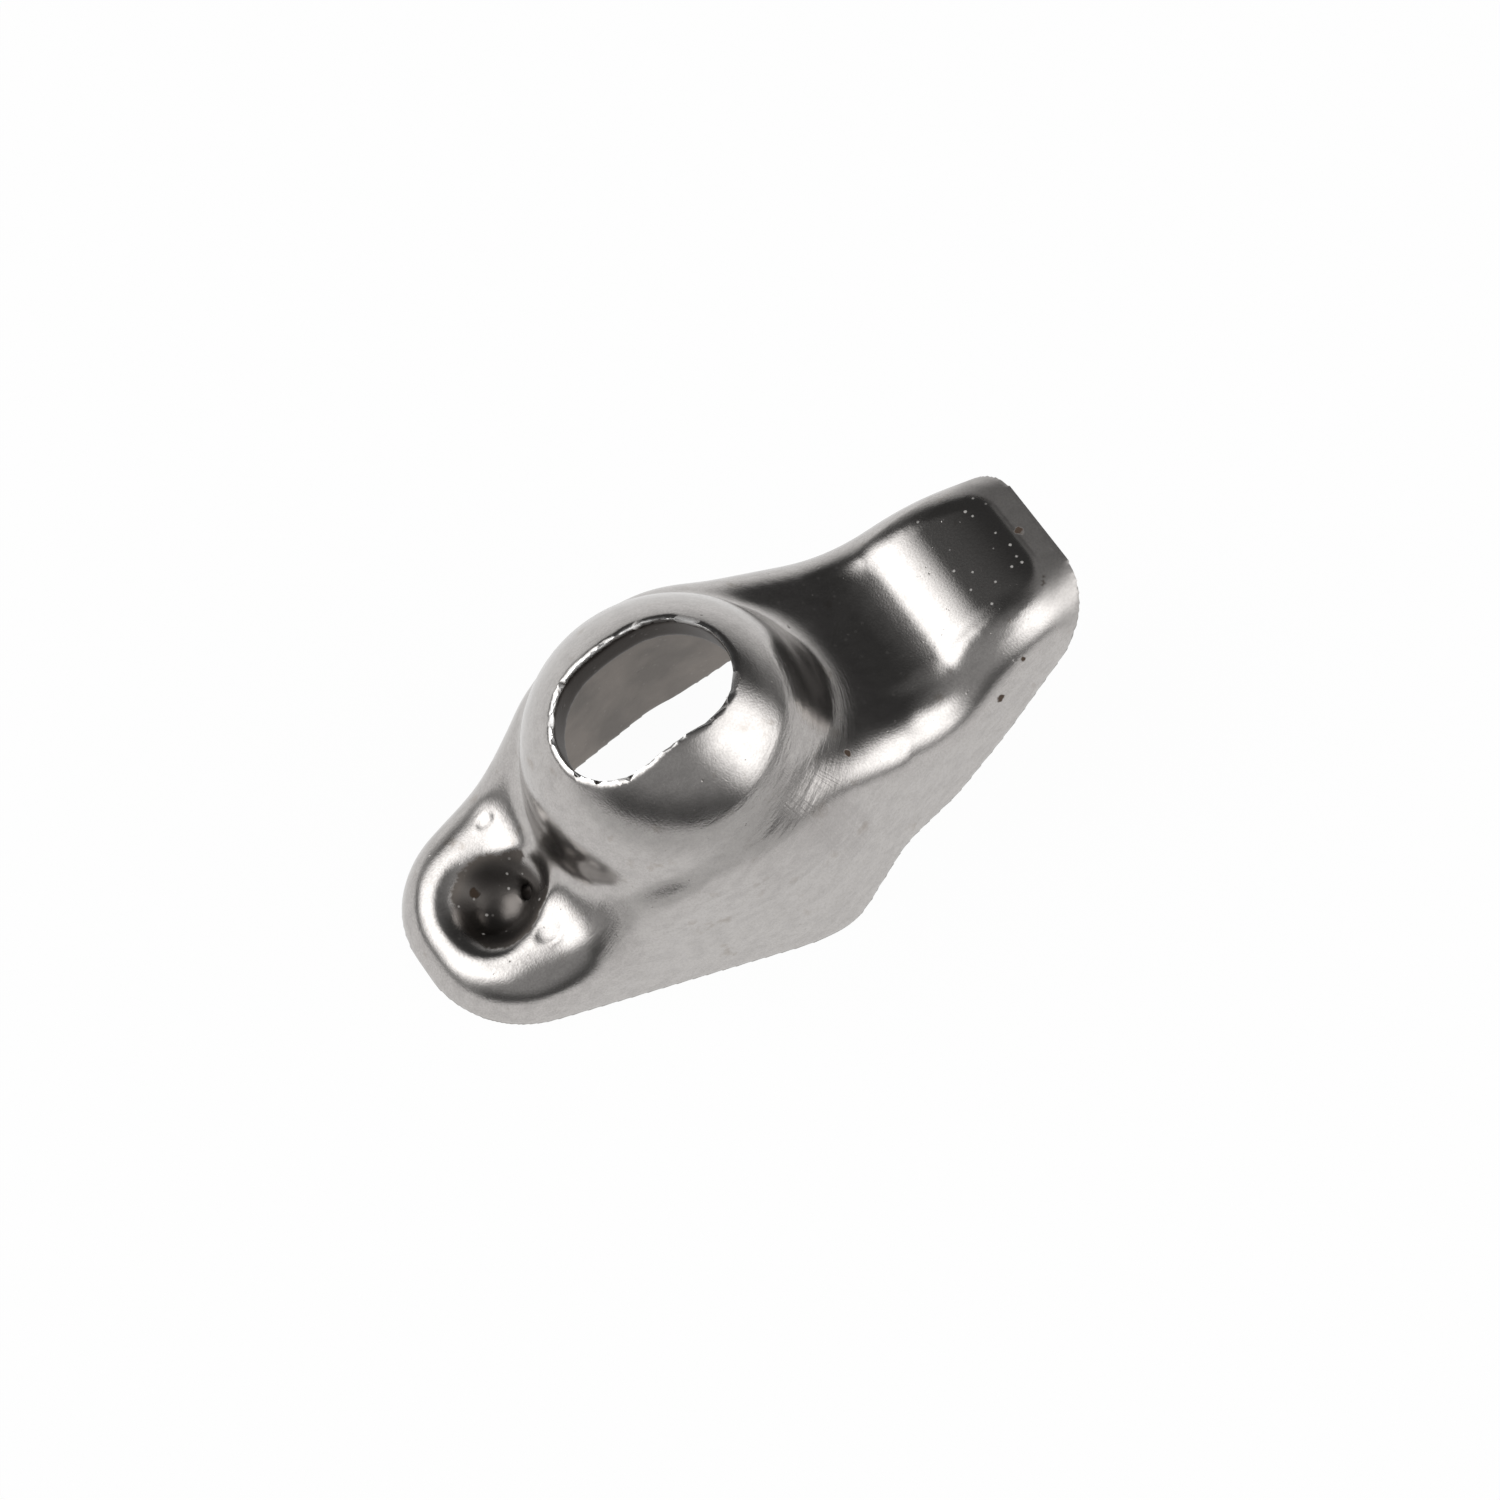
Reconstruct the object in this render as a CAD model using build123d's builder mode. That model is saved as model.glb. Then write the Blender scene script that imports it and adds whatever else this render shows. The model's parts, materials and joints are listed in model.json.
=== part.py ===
# Stamped rocker arm, one drawn steel sheet, laid down on its rim with the dome up.
# Modelled with the stud axis along Z, the pivot ball centre at the origin and the valve end along +X.

import math
import os

from build123d import *

# Sheet and ball socket, millimetres
sheet = 3.2
socket_radius = 12.0

# Arms, from the pivot to the pushrod cup and from the pivot to the valve pad
cup_arm = 22.8
pad_arm = 32.0

# Stud slot
slot_width = 12.6
slot_length = 18.5
slot_shift = 0.4

# Pushrod cup, the second strike beside it and its oil hole
cup_radius = 4.3
cup_depth = 3.7
cup_lip = 2.8
cup_sheet = 2.0
cup_inner_bend = 0.8
relief_radius = 5.0
relief_shift = 1.6
relief_rise = 2.8
oil_hole = 1.6
oil_angle = 38.0

# Walls in plan, just below the lowest point of the rim
cup_end_length = 11.0
cup_end_half = 10.6
cup_end_radius = 11.4
waist_x = 2.0
waist_margin = 3.0
waist_radius = 20.0
neck_back = 10.0
neck_pinch = 0.64
neck_radius = 120.0
nose_length = 9.4
nose_half = 10.0
wall_draft = 3.5
plan_drop = 1.0

# Upper skin in side view, as levels, slopes, distances and the bend at each corner
land_z = -1.9
land_length = 4.6
land_bend = 6.0
saddle_z = 2.3
saddle_cup_inset = 4.2
saddle_cup_bend = 8.0
saddle_valve_inset = 6.2
saddle_valve_bend = 10.0
valley_back = 9.6
valley_slope = 32.4
valley_bend = 9.0
pad_rise = 2.0
pad_radius = 18.0
nose_slope = 18.5

# Bends between the skin's faces
shoulder = 5.2
inner_shoulder = 0.5
foot = 3.2

# Rim in side view
rim_low_x = 3.6
rim_low_z = -18.0
rim_bend = 6.0
rest_tilt = 20.0
rim_notch_out = 8.7
rim_notch_z = -15.0
rim_notch_bend = 6.0
rim_fall_slope = 11.0
rim_heel_share = 0.52
rim_heel_bend = 10.0
rim_heel_slope = 8.7
rim_turn_back = 6.0
rim_turn_bend = 22.0
rim_nose_slope = 17.0
rim_tip_slope = 43.0
rim_tip_bend = 4.0

# Coined valve pad
coin_depth = 0.35
coin_lean = 1.5
coin_back = 5.2
coin_front = 6.7
coin_half = 7.5
coin_corner = 3.6

# How far the cutting shapes run past the part, and how exactly a draft is told
reach = 60.0
draft_tolerance = 1e-3

# Places that follow from the values above
dome_radius = socket_radius + sheet
cup_end_x = -cup_arm - cup_end_length
waist_half = dome_radius + waist_margin
neck_x = pad_arm - neck_back
nose_x = pad_arm + nose_length
neck_share = (neck_x - waist_x) / (nose_x - waist_x)
neck_half = waist_half - neck_share * (waist_half - nose_half) - neck_pinch
plan_z = rim_low_z - plan_drop
overrun_x = nose_x + 2 * shoulder
overrun_half = nose_half - (overrun_x - nose_x) * (neck_half - nose_half) / (nose_x - neck_x)
cup_center_z = land_z - cup_depth + cup_radius
saddle_valve_x = dome_radius - saddle_valve_inset
valley_x = pad_arm - valley_back
valley_z = saddle_z - (valley_x - saddle_valve_x) * math.tan(math.radians(valley_slope))
pad_z = valley_z + pad_rise
nose_line_z = pad_z - (reach - pad_arm) * math.tan(math.radians(nose_slope))
land_corner = (land_length - cup_arm, land_z)
saddle_cup_corner = (saddle_cup_inset - dome_radius, saddle_z)
saddle_valve_corner = (saddle_valve_x, saddle_z)
valley_corner = (valley_x, valley_z)
pad_corner = (pad_arm, pad_z)
nose_corner = (reach, nose_line_z)
coin_pad_z = pad_z - coin_depth
coin_nose_z = coin_pad_z - (reach - pad_arm) * math.tan(math.radians(nose_slope + coin_lean))
rim_notch_x = rim_low_x + rim_notch_out
rim_turn_x = pad_arm - rim_turn_back
rim_heel_x = rim_notch_x + rim_heel_share * (rim_turn_x - rim_notch_x)
rim_heel_z = rim_notch_z - (rim_heel_x - rim_notch_x) * math.tan(math.radians(rim_fall_slope))
rim_turn_z = rim_heel_z + (rim_turn_x - rim_heel_x) * math.tan(math.radians(rim_heel_slope))
nose_z = pad_z - nose_length * math.tan(math.radians(nose_slope))
rim_nose_rise = math.tan(math.radians(rim_nose_slope))
rim_tip_rise = math.tan(math.radians(rim_tip_slope))
rim_tip_run = (nose_z - rim_turn_z - (nose_x - rim_turn_x) * rim_nose_rise) / (rim_tip_rise - rim_nose_rise)
rim_tip_x = nose_x - rim_tip_run
rim_tip_z = nose_z - rim_tip_run * rim_tip_rise
rim_start_z = rim_low_z + (reach + rim_low_x) * math.tan(math.radians(rest_tilt))
rim_end_z = nose_z + (reach - nose_x) * rim_tip_rise


def is_wall(face):
    """True for the drafted faces that the plan outline makes."""
    lean = face.normal_at().Z - math.sin(math.radians(wall_draft))
    return abs(lean) < draft_tolerance and face.geom_type in (GeomType.PLANE, GeomType.CONE)


def pressed_form(inset):
    """Solid under the skin of the pressing, set in from the outer face by inset."""
    with BuildPart() as form:
        # Upper skin in side view
        with BuildSketch(Plane.XZ):
            with BuildLine():
                skin = FilletPolyline(
                    (-reach, land_z),
                    land_corner,
                    saddle_cup_corner,
                    saddle_valve_corner,
                    valley_corner,
                    pad_corner,
                    nose_corner,
                    radius=[land_bend, saddle_cup_bend, saddle_valve_bend, valley_bend, pad_radius],
                )
                Polyline(skin @ 1, (reach, -reach), (-reach, -reach), skin @ 0)
            make_face()
            if inset:
                offset(amount=-inset)
        extrude(amount=reach, both=True)

        # Ball dome, with the bend round its foot
        Sphere(dome_radius - inset)
        dome = form.faces().filter_by(GeomType.SPHERE)[0]
        foot_edges = dome.edges().filter_by_position(Axis.Z, -dome_radius, saddle_z + foot)
        fillet(foot_edges, radius=foot + inset)

        # Drafted walls in plan, run on past the nose
        with BuildSketch(Plane.XY.offset(plan_z)):
            with BuildLine():
                side = FilletPolyline(
                    (overrun_x, overrun_half),
                    (neck_x, neck_half),
                    (waist_x, waist_half),
                    (cup_end_x, cup_end_half),
                    (cup_end_x, 0),
                    radius=[neck_radius, waist_radius, cup_end_radius],
                )
                Line((overrun_x, 0), side @ 0)
                mirror(about=Plane.XZ)
            make_face()
            if inset:
                offset(amount=-inset)
        extrude(amount=reach, taper=wall_draft, mode=Mode.INTERSECT)
        walls = form.faces().filter_by(is_wall)
        wall_edges = [edge for face in walls for edge in face.edges()]
        shoulder_edges = [
            edge
            for edge in wall_edges
            if wall_edges.count(edge) == 1
            and edge.center().Z > rim_low_z
            and edge.center().X < nose_x + shoulder
        ]
        fillet(shoulder_edges, radius=inner_shoulder if inset else shoulder)

        # Pushrod cup, pressed down into the land
        with Locations((-cup_arm, 0, cup_center_z)):
            Sphere(cup_radius + (cup_sheet if inset else 0), mode=Mode.SUBTRACT)
        cup = form.faces().filter_by(GeomType.SPHERE).sort_by(Axis.X)[0]
        lip_edges = [edge for edge in cup.edges() if edge.geom_type == GeomType.CIRCLE]
        lip_edge = sorted(lip_edges, key=lambda edge: edge.length)[-1]
        fillet(lip_edge, radius=cup_inner_bend if inset else cup_lip)
    return form.part


outer = pressed_form(0)
inner = pressed_form(sheet)

# Punch of the coined valve pad
with BuildPart() as coin:
    with BuildSketch(Plane.XZ):
        with BuildLine():
            sole = FilletPolyline(
                saddle_valve_corner,
                valley_corner,
                (pad_arm, coin_pad_z),
                (reach, coin_nose_z),
                radius=[valley_bend, pad_radius],
            )
            Polyline(sole @ 1, (reach, reach), (saddle_valve_x, reach), sole @ 0)
        make_face()
    extrude(amount=reach, both=True)
    with BuildSketch(Plane.XY.offset(-reach)) as outline:
        with Locations((pad_arm - coin_back, 0)):
            Rectangle(coin_back + coin_front, 2 * coin_half, align=(Align.MIN, Align.CENTER))
        fillet(outline.vertices().sort_by(Axis.X)[-2:], radius=coin_corner)
    extrude(amount=2 * reach, mode=Mode.INTERSECT)

with BuildPart() as pressing:
    add(outer)
    add(coin.part, mode=Mode.SUBTRACT)

    # Second, shallower strike on the dome side of the cup
    with Locations((relief_shift - cup_arm, 0, land_z + relief_rise)):
        Sphere(relief_radius, mode=Mode.SUBTRACT)

    # Hollow of the channel and the ball socket
    add(inner, mode=Mode.SUBTRACT)

    # Rim, straight along the cup half, notched along the valve half and rising through the nose
    with BuildSketch(Plane.XZ):
        with BuildLine():
            rim = FilletPolyline(
                (-reach, rim_start_z),
                (rim_low_x, rim_low_z),
                (rim_notch_x, rim_notch_z),
                (rim_heel_x, rim_heel_z),
                (rim_turn_x, rim_turn_z),
                (rim_tip_x, rim_tip_z),
                (reach, rim_end_z),
                radius=[rim_bend, rim_notch_bend, rim_heel_bend, rim_turn_bend, rim_tip_bend],
            )
            Polyline(rim @ 1, (reach, -reach), (-reach, -reach), rim @ 0)
        make_face()
    extrude(amount=reach, both=True, mode=Mode.SUBTRACT)

    # Stud slot through the crown of the dome
    with BuildSketch(Plane.XY):
        with Locations((slot_shift, 0)):
            SlotOverall(slot_length, slot_width)
    extrude(amount=reach, mode=Mode.SUBTRACT)

    # Oil hole through the dome side of the cup
    oil_axis = (math.sin(math.radians(oil_angle)), 0, -math.cos(math.radians(oil_angle)))
    with BuildSketch(Plane(origin=(-cup_arm, 0, cup_center_z), z_dir=oil_axis)):
        Circle(oil_hole / 2)
    extrude(amount=cup_radius + cup_sheet + sheet, mode=Mode.SUBTRACT)

# Laid down on the cup half of its rim
with BuildPart() as rocker_arm:
    add(pressing.part, rotation=(0, -rest_tilt, 0))

rocker_arm.part.label = "rocker_arm"
os.makedirs("parts", exist_ok=True)
export_step(rocker_arm.part, "parts/rocker_arm.step")
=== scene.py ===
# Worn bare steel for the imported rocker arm, and the white floor and soft lights it is shown in.

import json
import math

import bmesh
import bpy
import numpy as np
from bpy.props import FloatProperty, FloatVectorProperty, IntProperty, PointerProperty
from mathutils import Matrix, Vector, kdtree, noise

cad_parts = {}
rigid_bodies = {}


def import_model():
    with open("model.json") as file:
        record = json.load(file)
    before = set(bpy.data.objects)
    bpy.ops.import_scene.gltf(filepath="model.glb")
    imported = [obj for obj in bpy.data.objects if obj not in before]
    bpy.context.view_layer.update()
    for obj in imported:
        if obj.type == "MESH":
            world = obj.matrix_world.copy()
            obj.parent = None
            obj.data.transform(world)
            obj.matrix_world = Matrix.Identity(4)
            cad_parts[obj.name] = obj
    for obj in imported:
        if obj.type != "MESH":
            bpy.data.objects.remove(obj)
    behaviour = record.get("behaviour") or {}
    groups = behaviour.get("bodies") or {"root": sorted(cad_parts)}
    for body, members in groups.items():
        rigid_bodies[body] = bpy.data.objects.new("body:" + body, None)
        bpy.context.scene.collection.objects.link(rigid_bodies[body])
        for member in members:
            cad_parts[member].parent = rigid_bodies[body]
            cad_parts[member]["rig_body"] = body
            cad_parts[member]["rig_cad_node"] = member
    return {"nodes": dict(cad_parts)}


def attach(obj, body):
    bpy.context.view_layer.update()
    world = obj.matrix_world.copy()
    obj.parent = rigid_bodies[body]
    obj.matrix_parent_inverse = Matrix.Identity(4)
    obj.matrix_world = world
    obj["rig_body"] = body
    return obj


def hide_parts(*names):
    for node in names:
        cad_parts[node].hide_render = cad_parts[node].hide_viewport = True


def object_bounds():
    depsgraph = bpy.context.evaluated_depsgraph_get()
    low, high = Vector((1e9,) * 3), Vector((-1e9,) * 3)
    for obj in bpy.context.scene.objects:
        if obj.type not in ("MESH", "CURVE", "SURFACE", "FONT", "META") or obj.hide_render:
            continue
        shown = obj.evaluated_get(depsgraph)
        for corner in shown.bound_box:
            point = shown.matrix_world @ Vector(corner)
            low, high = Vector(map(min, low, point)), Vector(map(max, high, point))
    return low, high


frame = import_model()
CAD_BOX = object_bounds()

bl_info = {
    "name": "Stamped rocker arm",
    "version": (1, 0, 0),
    "blender": (4, 5, 0),
    "location": "View3D > Sidebar > Rocker Arm",
    "description": "Dresses the packed rocker arm in worn bare steel and sets it on a white floor",
    "category": "Object",
}

MM = 0.001
ARM_NODE = "rocker_arm"
ARM_NAME = "stamped_arm"

# Mesh: merging distance, step along sharp edges, grid depth, soft borders, levels and shading angle
MERGE_DISTANCE, EDGE_STEP, REMESH_DEPTH = 0.001 * MM, 0.1 * MM, 8
FACETS_FADE, EDGES_FADE = (0.2 * MM, 1.0 * MM), (0.4 * MM, 0.9 * MM)
GROUP_LEVELS = 20
SHADE_ANGLE = math.radians(40.0)

# The arm's own frame has the stud axis along Z, the ball centre at 0 and the valve end along +X.
# Places in it are in millimetres.

# Dome, land and pushrod cup, and the direction of the cup's oil hole, whose inside is painted dark as
# shade
DOME_RADIUS = 15.2
LAND_Z = -1.9
CUP_X, CUP_Z = -22.8, -1.3
OIL_SIN, OIL_COS = 0.616, 0.788
OIL_RADIUS, OIL_START = 0.95, 4.45

# Stud slot
SLOT_X, SLOT_HALF, SLOT_RADIUS = 0.4, 2.95, 6.3

# Outline of the coined pad
PAD_X = 32.0
PAD_START, PAD_END, PAD_HALF, PAD_CORNER = 26.8, 38.7, 7.5, 3.6

# Skin before the pad was coined: its crown, its fall to the nose and its rolled shoulders
CROWN_X, CROWN_Z, CROWN_RADIUS = 30.9, -22.82, 18.0
CROWN_SPAN, CROWN_END = (-3.67, 5.72), 36.62
NOSE_Z, NOSE_FALL = -4.204, 0.3346
SHOULDER_HALF, SHOULDER_TAPER = 5.88, 0.157
SHOULDER_RADIUS, SHOULDER_REACH = 5.2, 4.0

# Packed skin along the valley: the fall from the saddle, the bend and the climb to the pad
SADDLE_X, SADDLE_Z, SADDLE_FALL = 9.0, 2.3, 0.6346
BEND_X, BEND_Z, BEND_RADIUS, BEND_SPAN = 24.12, 3.362, 9.0, (-4.82, 1.86)
BEND_START, BEND_END = 19.3, 25.98
CLIMB_Z, CLIMB_SLOPE = -5.448, 0.209

# Worn floor of the valley: arcs as start, length, radius, and sine and cosine of the first slope
FLOOR_Z = -3.411
FLOOR_ARCS = ((18.0, 6.2, 14.4, 0.536, 0.8443), (24.2, 4.0, 20.0, 0.1045, 0.9945))
FLOOR_BAND, FLOOR_ACROSS, FLOOR_LOW = (17.9, 18.3, 26.2, 27.3), (5.5, 8.0), -8

# Roll of the cup's lip: where it ends, and how it falls from there to the cup
LIP_END, LIP_START, LIP_REACH = 7.5, 3.4, 4.5
LIP_FALL, LIP_POWER = 0.05, 2.6
LIP_BAND, LIP_LOW, LIP_BAND_LOW = (2.6, 3.4, 7.0, 8.0), -4.4, -5
LIP_ASIDE, LIP_DOME_SHARE = (-0.45, 0.1), 0.3

# Smoothing passes of each softened place
EDGE_PASSES, FOOT_PASSES, LAND_PASSES, SHOULDER_PASSES = 6, 420, 110, 60
SLOT_PASSES, BORDER_PASSES, FAR_PASSES, ROLL_PASSES = 5, 40, 60, 36

# Least upward part of a normal that counts as upper skin, at each worn place
FACING_UP, NOT_UNDER = 0.5, -0.2
DENT_UP, FAR_UP, ROLL_UP = 0.3, 0.1, -0.3

# Softened foot of the dome: ring, length, width and lowest place
FOOT_BAND = (12.8, 15.0, 19.5, 22.0)
FOOT_ALONG, FOOT_ACROSS, FOOT_LOW = (-8, 2), (-9, -3), -9

# Softened land: distance from the cup, length, height above the rim and lowest place
LAND_ROUND_CUP, LAND_ALONG = (5.2, 6.4), (-15.0, -12.5)
LAND_ABOVE_RIM, LAND_LOW = (3.5, 6.0), -7

# Softened near shoulder: length, inner and outer border, and lowest place
SHOULDER_BAND, SHOULDER_LOW = (17, 21, 36, 38), -11
SHOULDER_INSIDE, SHOULDER_OUTSIDE = (4.6, 6.4), (10.5, 12.5)

# Tool's arcs round the dome: ring, length, width and lowest place
ARC_BAND = (12.0, 13.2, 16.5, 18.5)
ARC_ALONG, ARC_ACROSS, ARC_LOW = (-6, 4), (-2, 5), -5

# Patches of hatching and of combed scratches: place and size, lowest place and soft border
HATCH, HATCH_LOW = (8.0, -14.5, 4.0, 3.2), -9
COMB, COMB_LOW = (-15.2, -11.0, 3.4, 3.6), -7
PATCH_FADE = (0.5, 1.0)

# Soft borders of the pad, the tip, the cup with its painted shade, and the slot's broken edge with its
# painted glint
PAD_FADE, TIP_FADE = (-0.6, 0.3), (35, 38.5)
CUP_FADE, CUP_DEPTH = (4.2, 5.4), (-3.2, -2.1)
BURR_FADE, SLOT_LOW = (0.25, 0.5), 4

# Torn band inside the slot, and the arm's inside as leaning walls, roof and ball socket, which is painted
# with oil colour and shade
CUT_HALF, CUT_END = 0.2, 15.0
WALL_LEAN, ROOF_LEAN = -0.4, -0.25
SOCKET_RADIUS, SOCKET_LOW = 12.6, -3

# Metal left by the coined pad: its height, its borders at the edge and the tip, and its reach
COIN_GAP, COIN_REACH = 0.6, 0.3
LEFT_EDGE, LEFT_TIP = (0, 0.6), (32, 38)

# Scales of the broken edge's noise, and its even, coarse and fine shares
BURR_COARSE, BURR_FINE = 1.3, 2.6
BURR_EVEN_SHARE, BURR_COARSE_SHARE, BURR_FINE_SHARE = 0.5, 0.5, 0.3

# Evened borders: of the slot, of the pad and of its far side, with the pad's lowest place
SLOT_FADE, BORDER_FADE, FAR_FADE, BORDER_LOW = (0.5, 0.9), (0.8, 1.5), (5.6, 6.4), -10

# Dents as place, size and depth, and the shape that they share
DENT_FLOOR, DENT_LOW = 0.55, -6
DENT_LIP_HEIGHT, DENT_LIP_AT, DENT_LIP_WIDTH = 0.35, 1.15, 0.16
DENTS = ((-20.4, -6.3, 1.5, 1.2, 0.14), (-19.2, 7.4, 1.1, 0.8, 0.09))

# Specks of dirt as place and size, their solid share, and how far their outline wanders in metres
DIRT_CORE, DIRT_WOBBLE = 0.7, 0.0007
DIRT = (
    (13.0, -11.2, -0.4, 0.5),
    (14.1, -7.6, -0.75, 0.35),
    (28.0, -11.7, -9.5, 0.5),
    (31.9, -10.6, -7.9, 0.35),
    (39.2, 0.3, -6.6, 0.5),
    (-24.2, 3.0, -4.1, 0.55),
)

# Colours of the marks on the steel, and the painted glint along the slot's broken edge
GRAIN_COLOR = (0.22, 0.205, 0.195, 1.0)
PIT_COLOR = (0.2, 0.18, 0.16, 1.0)
STAIN_COLOR = (0.24, 0.2, 0.16, 1.0)
MARK_COLOR = (0.25, 0.235, 0.225, 1.0)
BURR_GLINT_COLOR = (0.8, 0.79, 0.78, 1.0)
DIRT_COLOR = (0.07, 0.045, 0.03, 1.0)
DUST_COLOR = (0.75, 0.73, 0.7, 1.0)

# How strongly each mark colours the steel, and the dull share of the steel and of the hollow's oil and
# painted shade
GRAIN_TONE, PIT_TONE, STAIN_TONE, MARK_TONE, HOLLOW_TONE = 0.18, 0.55, 0.4, 0.35, 0.9
DULL_STEEL, DULL_HOLLOW = 0.9, 0.6

# Scales of the tool marks' noise, along and across each mark
RING_SCALE, RING_TURN = 2400.0, 3.0
HATCH_TURN, HATCH_SCALE = 75.0, 350.0
COMB_TURN, COMB_SCALE = math.radians(-57.0), (300.0, 4200.0, 300.0)

# Scales of the grain and the other marks, and the part of each noise that shows
GRAIN_SCALE, GRAIN_RANGE = 4500.0, (0.42, 0.62)
SCUFF_SCALE, SCUFF_RANGE = (600.0, 900.0, 1200.0), (0.34, 0.58)
STAIN_SCALE, STAIN_RANGE = 420.0, (0.64, 0.76)
PIT_SCALE, PIT_RANGE = 1500.0, (0.73, 0.82)
SMUDGE_SCALE, SMUDGE_RANGE = 160.0, (0.36, 0.62)
GRAIN_DETAIL, SCUFF_DETAIL, STAIN_DETAIL, SMUDGE_DETAIL = 3.0, 6.0, 3.0, 4.0
DIRT_SCALE = 1500.0
DUST_SCALE, DUST_SIZE, DUST_CHOSEN = 900.0, (0.1, 0.18), (0.4, 0.42)
DUST_ELSEWHERE, DUST_ON_PAD = 0.05, 0.7

# Roughness of the tip, the cup and the dirt, and how far smudges change the skin's
TIP_ROUGHNESS, CUP_ROUGHNESS, DIRT_ROUGHNESS = 0.44, 0.3, 0.8
ROUGH_RANGE, ROUGH_LESS, ROUGH_MORE = (0.3, 0.7), 0.03, 0.04

# Height of the bumps in metres, and the strength of the grain's on the pad
GRAIN_BUMP, MARK_BUMP, PIT_BUMP = 0.011 * MM, 0.05 * MM, 0.03 * MM
PAD_BUMP_STRENGTH = 0.6

# Camera's sensor in millimetres, and its nearest and farthest sight in metres
SENSOR_WIDTH = 36.0
CLIP = (0.01, 50.0)

# Floor: corners, radius in metres, colour, share of plain white, and where that white fades in reflections
FLOOR_CORNERS, FLOOR_RADIUS = 96, 3.0
FLOOR_COLOR = (0.9, 0.9, 0.9, 1)
FLOOR_WHITE = 0.97
FLOOR_FADE = (0.048, 0.066, 1.0, 0.1)
FRONT = (-0.52, -0.85, 0.0)

# Lamps as turn and height in degrees, distance and face in metres, and the share of a face that fades
LEFT_LAMP = (148.0, 38.0, 0.9, (1.25, 1.0))
RIGHT_LAMP = (-46.0, 38.0, 0.9, (1.15, 1.2))
LAMP_FADES = ((0.0, 0.3), (1.0, 0.7))

# Brightness of the room's walls and of the sweep behind the arm, and the darker horizon
WALLS = (-0.5, 0.5, 0.05, 0.38)
HORIZON = (0.2, 0.5, 0.22, 1.0)
HORIZON_SIDE = (0.5, 0.75)
SWEEP_SIDE = (-0.8, -0.3, 1.0, 0.0)
SWEEP_HEIGHT = (0.1, 0.45, 0.75, 0.0)


class RockerArmShape(bpy.types.PropertyGroup):
    """Sizes of the arm's surface detail."""

    lean: FloatProperty(
        name="Lean",
        description="How far the stud axis leans from upright towards the cup",
        default=math.radians(20.0),
        subtype="ANGLE",
    )
    mesh_scale: FloatProperty(
        name="Mesh scale",
        description="Share of the remesh grid that the arm fills",
        default=0.84,
    )
    smoothing: IntProperty(
        name="Smoothing",
        description="Passes that even out the facets between the sharp edges",
        default=24,
    )
    burr: FloatProperty(
        name="Burr",
        description="How deep the slot's broken edge is notched",
        default=0.42 * MM,
        unit="LENGTH",
    )
    pad_edge: FloatProperty(
        name="Pad edge",
        description="From the middle plane to the coined pad's near edge",
        default=5.8 * MM,
        unit="LENGTH",
    )
    sharp_angle: FloatProperty(
        name="Sharp angle",
        description="Edges that fold more than this stay sharp",
        default=math.radians(24.0),
        subtype="ANGLE",
    )


class RockerArmFinish(bpy.types.PropertyGroup):
    """Colours and polish of the steel."""

    steel: FloatVectorProperty(
        name="Steel",
        description="Colour of the bare steel",
        default=(0.49, 0.47, 0.455),
        size=3,
        subtype="COLOR",
    )
    skin_roughness: FloatProperty(
        name="Skin roughness",
        description="Roughness of the drawn skin",
        default=0.19,
    )
    pad_roughness: FloatProperty(
        name="Pad roughness",
        description="Roughness of the coined pad",
        default=0.12,
    )
    cut_roughness: FloatProperty(
        name="Cut roughness",
        description="Roughness of the sheared edges and the hollow",
        default=0.45,
    )
    # Oil colour of the arm's inside, which also stands in for the shade there
    hollow: FloatVectorProperty(
        name="Hollow",
        description="Colour of the oily inside of the channel",
        default=(0.16, 0.139, 0.121),
        size=3,
        subtype="COLOR",
    )
    # Dark oil colour of the cup, which also paints the shade in its bowl
    cup: FloatVectorProperty(
        name="Cup",
        description="Colour of the oily pushrod cup",
        default=(0.12, 0.11, 0.103),
        size=3,
        subtype="COLOR",
    )
    # Colour of the dark torn band, also used as painted shade inside the oil hole
    cut: FloatVectorProperty(
        name="Cut",
        description="Colour of the torn band inside the slot",
        default=(0.05, 0.042, 0.037),
        size=3,
        subtype="COLOR",
    )


class RockerArmStage(bpy.types.PropertyGroup):
    """Camera, lamps and floor."""

    azimuth: FloatProperty(
        name="Azimuth",
        description="Camera's turn about the upright, 0 looks along +Y",
        default=math.radians(-31.7),
        subtype="ANGLE",
    )
    elevation: FloatProperty(
        name="Elevation",
        description="Camera's height above the horizon",
        default=math.radians(56.5),
        subtype="ANGLE",
    )
    distance: FloatProperty(
        name="Distance",
        description="From the camera to the pivot",
        default=0.6,
        unit="LENGTH",
    )
    aside: FloatProperty(
        name="Aside",
        description="How far the camera stands to the right of the pivot",
        default=0.00704,
        unit="LENGTH",
    )
    lens: FloatProperty(
        name="Lens",
        description="Focal length in millimetres",
        default=149.7,
    )
    left_strength: FloatProperty(
        name="Left lamp",
        description="Brightness of the left soft lamp's face",
        default=2.45,
    )
    right_strength: FloatProperty(
        name="Right lamp",
        description="Brightness of the right soft lamp's face",
        default=2.2,
    )


def only(*objects):
    """Selects these objects alone and makes the first one active."""
    bpy.ops.object.select_all(action="DESELECT")
    for thing in objects:
        thing.select_set(True)
    bpy.context.view_layer.objects.active = objects[0]


def apply_modifier(piece, kind, name, **settings):
    """Adds a modifier with these settings and applies it."""
    modifier = piece.modifiers.new(name, kind)
    for key, value in settings.items():
        setattr(modifier, key, value)
    only(piece)
    bpy.ops.object.modifier_apply(modifier=modifier.name)


def points_of(piece):
    """Vertex places as an array, in metres."""
    places = np.zeros(len(piece.data.vertices) * 3, np.float32)
    piece.data.vertices.foreach_get("co", places)
    return places.reshape(-1, 3).astype(float)


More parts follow.
